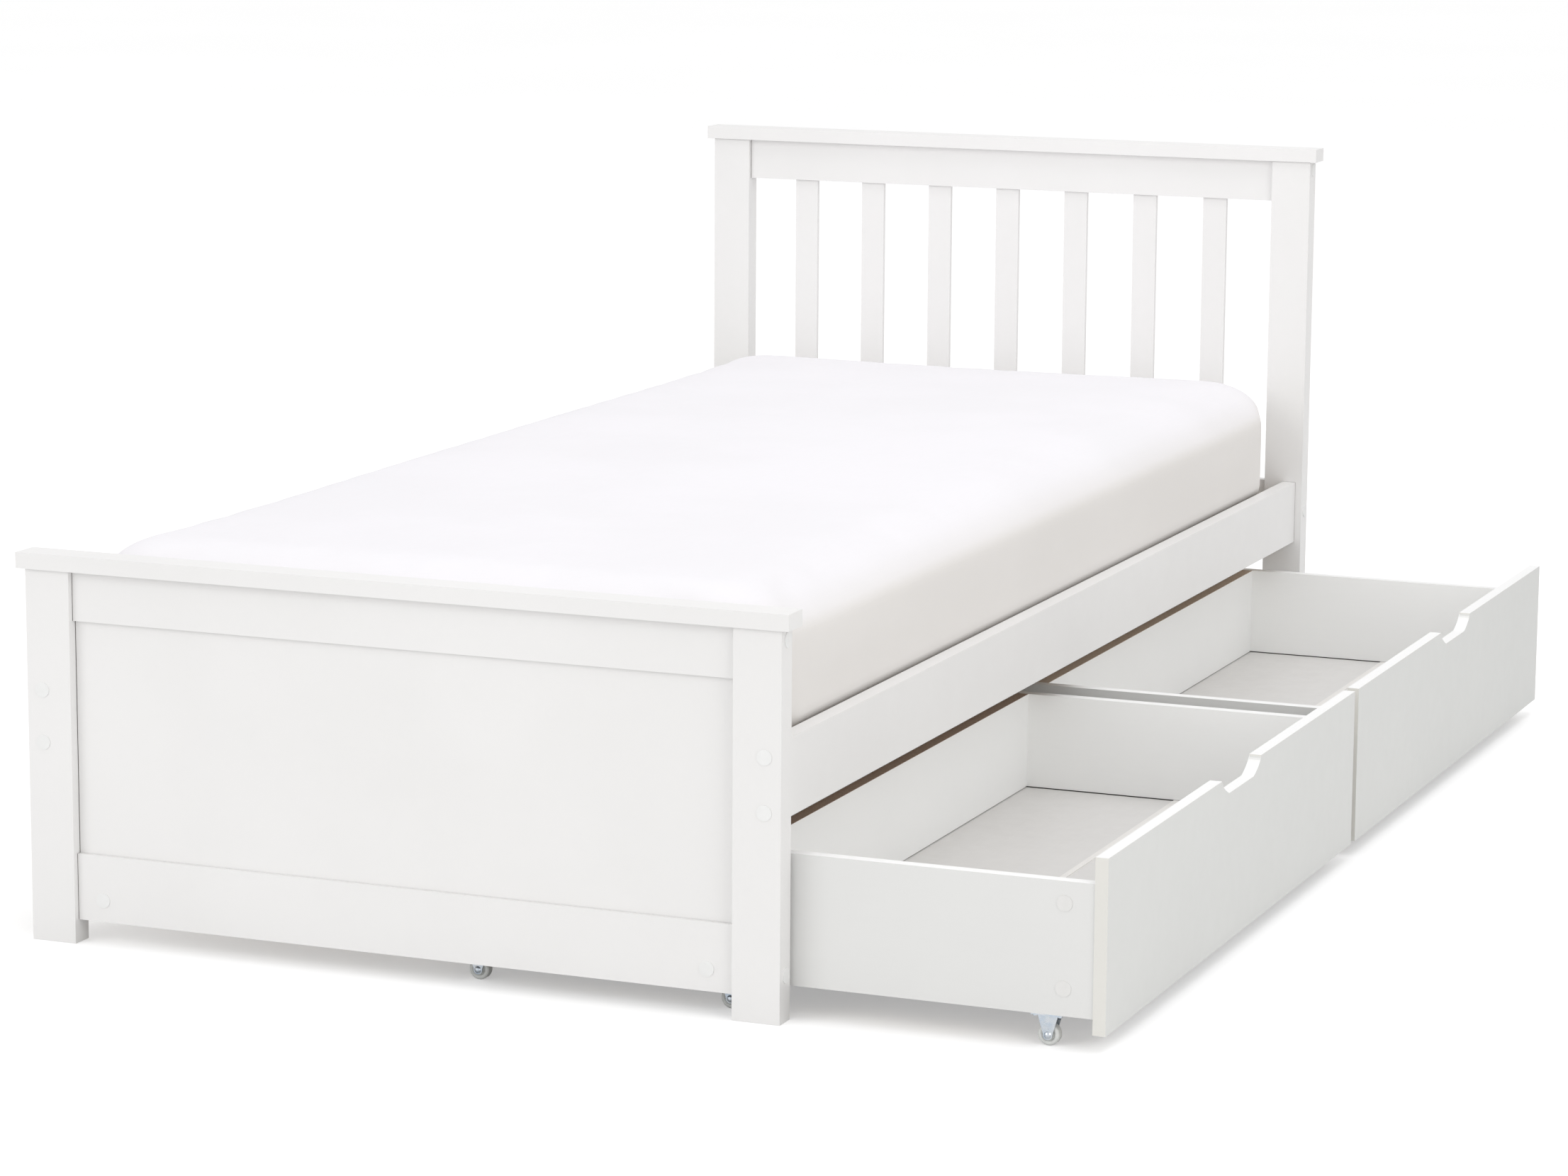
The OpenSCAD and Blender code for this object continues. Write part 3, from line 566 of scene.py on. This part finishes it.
def rounded_block(name, low, high, step):
    """A closed block of even square faces, with large round edges and corners."""
    size = high - low
    counts = [max(2, round(size[i] / step)) for i in range(3)]
    mesh = bmesh.new()
    made = {}

    def vertex(i, j, k):
        key = (i, j, k)
        if key not in made:
            point = Vector([low[a] + size[a] * key[a] / counts[a] for a in range(3)])
            made[key] = mesh.verts.new(point)
        return made[key]

    for a in range(3):
        b, c = (a + 1) % 3, (a + 2) % 3
        for side in (0, counts[a]):
            for i in range(counts[b]):
                for j in range(counts[c]):
                    corners = []
                    for di, dj in ((0, 0), (1, 0), (1, 1), (0, 1)):
                        key = [0, 0, 0]
                        key[a], key[b], key[c] = side, i + di, j + dj
                        corners.append(vertex(*key))
                    if side == 0:
                        corners.reverse()
                    mesh.faces.new(corners)
    middle = (low.z + high.z) / 2
    for v in mesh.verts:
        upright = TOP_R if v.co.z > middle else UNDER_R
        radii = Vector((CORNER_R, CORNER_R, upright))
        core = Vector([
            min(max(v.co.x, low.x + CORNER_R), high.x - CORNER_R),
            min(max(v.co.y, low.y + CORNER_R), high.y - CORNER_R),
            min(max(v.co.z, low.z + UNDER_R), high.z - TOP_R),
        ])
        away = Vector([(v.co[a] - core[a]) / radii[a] for a in range(3)])
        away.normalize()
        v.co = Vector([core[a] + away[a] * radii[a] for a in range(3)])
    data = bpy.data.meshes.new(name)
    mesh.to_mesh(data)
    mesh.free()
    piece = bpy.data.objects.new(name, data)
    scene.collection.objects.link(piece)
    return piece


def swell(piece, pressure, frames, most):
    """Lets pressure round the block by cloth simulation; no point moves further than most."""
    start = np.array([v.co for v in piece.data.vertices])
    cloth = piece.modifiers.new("swell", "CLOTH")
    settings = cloth.settings
    settings.use_pressure = True
    settings.uniform_pressure_force = pressure
    settings.tension_stiffness = 40
    settings.compression_stiffness = 40
    settings.bending_stiffness = 6
    settings.effector_weights.gravity = 0
    cloth.point_cache.frame_end = frames
    for number in range(1, frames + 1):
        scene.frame_set(number)
    shape = piece.evaluated_get(bpy.context.evaluated_depsgraph_get())
    moved = np.array([v.co for v in shape.data.vertices]) - start
    piece.modifiers.remove(cloth)
    scene.frame_set(1)
    far = np.linalg.norm(moved, axis=1)
    keep = np.where(far > most, most / np.maximum(far, 1e-9), 1.0)
    end = start + moved * keep[:, None]
    for v, point in zip(piece.data.vertices, end):
        v.co = point


def fit_inside(piece, low, high):
    """Scales a piece along each axis so that it fills exactly this box."""
    points = np.array([v.co for v in piece.data.vertices])
    least, most = points.min(0), points.max(0)
    points = np.array(low) + (points - least) / (most - least) * (np.array(high) - np.array(low))
    for v, point in zip(piece.data.vertices, points):
        v.co = point


PRESSED = 0.15  # share of the gap to the rail that is left
SIDE_ZONE = 0.02  # how far in from the side a point still belongs to it


def press_out(piece, low, high):
    """Brings the long sides, which the swelling has curved, back out against the rails."""
    middle = (low.x + high.x) / 2
    for v in piece.data.vertices:
        side = high.x if v.co.x > middle else low.x
        along = min(v.co.y - low.y, high.y - v.co.y)
        upright = low.z + UNDER_R < v.co.z < high.z - TOP_R
        if abs(side - v.co.x) < SIDE_ZONE and along > CORNER_R and upright:
            v.co.x = side - (side - v.co.x) * PRESSED


def make_mattress():
    low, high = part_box("mattress")
    inset = SHEET_GAP + SHEET_T
    low_core = low + Vector((inset, inset, inset))
    high_core = high - Vector((inset, inset, inset))
    core = rounded_block("mattress_core", low_core, high_core, GRID_STEP)
    swell(core, 1.6, 12, 0.006)
    fit_inside(core, low_core, high_core)
    press_out(core, low_core, high_core)
    smooth = core.modifiers.new("smooth", "SUBSURF")
    smooth.levels = smooth.render_levels = 1
    core.data.materials.append(quilted("mattress_ticking"))
    for polygon in core.data.polygons:
        polygon.use_smooth = True
    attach(core, "mattress")
    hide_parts("mattress")
    return core


def tension_fold(point, low, high):
    """Height of the sheet's faint pull folds, which run out from its four corners."""
    to_x = min(point.x - low.x, high.x - point.x)
    to_y = min(point.y - low.y, high.y - point.y)
    near_corner = math.exp(-((to_x / 0.16) ** 2 + (to_y / 0.24) ** 2))
    angle = math.atan2(to_y + 0.02, to_x + 0.02)
    ridges = math.sin(angle * 13 + 1.3 * noise.noise(point * 6))
    soft = noise.noise(Vector((point.x * 2.2, point.y * 1.1, point.z * 3)))
    fine = noise.noise(Vector((point.x * 9, point.y * 4, point.z * 9 + 5)))
    return 1.1 * MM * near_corner * ridges + 0.9 * MM * soft + 0.35 * MM * fine


def make_sheet(core):
    low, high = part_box("mattress")
    mesh = bmesh.new()
    mesh.from_mesh(core.data)
    mesh.normal_update()
    under = [
        f for f in mesh.faces
        if f.normal.z < -0.9
        and min(f.calc_center_median().x - low.x, high.x - f.calc_center_median().x) > TUCK
        and min(f.calc_center_median().y - low.y, high.y - f.calc_center_median().y) > TUCK
    ]
    bmesh.ops.delete(mesh, geom=under, context="FACES")
    mesh.normal_update()
    for v in mesh.verts:
        lift = SHEET_GAP
        if v.co.z > low.z + UNDER_R:
            lift += max(-0.8 * MM, min(tension_fold(v.co, low, high) - 1.2 * MM, 0))
        v.co += v.normal * lift
    data = bpy.data.meshes.new("fitted_sheet")
    mesh.to_mesh(data)
    mesh.free()
    sheet = bpy.data.objects.new("fitted_sheet", data)
    scene.collection.objects.link(sheet)
    smooth = sheet.modifiers.new("smooth", "SUBSURF")
    smooth.levels = smooth.render_levels = 1
    thick = sheet.modifiers.new("thickness", "SOLIDIFY")
    thick.thickness = SHEET_T
    thick.offset = 1.0
    data.materials.append(cotton("white_cotton"))
    for polygon in data.polygons:
        polygon.use_smooth = True
    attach(sheet, "mattress")
    return sheet


# ------------------------------------------------------------------ studio

FLOOR_GLOW = 0.36  # brightens the floor's picture, but not the object
WORLD_LIGHT = 0.78


def make_studio():
    mesh = bmesh.new()
    bmesh.ops.create_grid(mesh, x_segments=8, y_segments=8, size=120)
    data = bpy.data.meshes.new("studio_floor")
    mesh.to_mesh(data)
    mesh.free()
    floor = bpy.data.objects.new("studio_floor", data)
    scene.collection.objects.link(floor)
    floor.location.z = cad_box[0][2] - 0.2 * MM
    data.materials.append(studio_floor("pale_paper"))

    world = bpy.data.worlds.new("studio")
    world.use_nodes = True
    background = world.node_tree.nodes["Background"]
    background.inputs["Color"].default_value = (1.0, 1.0, 1.0, 1)
    seen = world.node_tree.nodes.new("ShaderNodeLightPath").outputs["Is Camera Ray"]
    strength = world.node_tree.nodes.new("ShaderNodeMapRange")
    strength.inputs["To Min"].default_value = WORLD_LIGHT
    strength.inputs["To Max"].default_value = 1.02
    world.node_tree.links.new(seen, strength.inputs["Value"])
    world.node_tree.links.new(strength.outputs["Result"], background.inputs["Strength"])
    scene.world = world

    lights = (
        ("key", (-4.6, -8.0, 4.2), (0, 0, 0.4), 5.0, 175, (1.0, 1.0, 1.0)),
        ("overhead", (0.9, 0.2, 4.6), (0.3, 0, 0.3), 4.0, 66, (0.985, 0.98, 1.0)),
        ("right", (5.0, -3.6, 2.6), (0.3, 0, 0.3), 3.4, 66, (1.0, 0.985, 0.965)),
    )
    for name, place, aim, size, power, tint in lights:
        data = bpy.data.lights.new(name, "AREA")
        data.shape = "SQUARE"
        data.size = size
        data.energy = power
        data.color = tint
        light = bpy.data.objects.new(name, data)
        scene.collection.objects.link(light)
        light.location = place
        light.rotation_euler = (Vector(aim) - Vector(place)).to_track_quat("-Z", "Y").to_euler()
    scene.view_settings.view_transform = "Standard"


# ------------------------------------------------------------------ the scene

make_camera()
plated = dress_bed()
shared = {
    "batten": pine("pine_runners", "X"),
    "zinc": plated,
    "strip": moulded("joint_strip_plastic", (0.84, 0.825, 0.80), (0.82, 0.805, 0.78)),
    "caps": moulded("drawer_cap_plastic", (0.755, 0.75, 0.735), (0.735, 0.73, 0.715)),
    "wheel": moulded("wheel_plastic", (0.70, 0.71, 0.69), (0.64, 0.65, 0.63), 0.5),
}
for drawer in DRAWERS:
    dress_drawer(drawer, shared)
make_sheet(make_mattress())
make_studio()
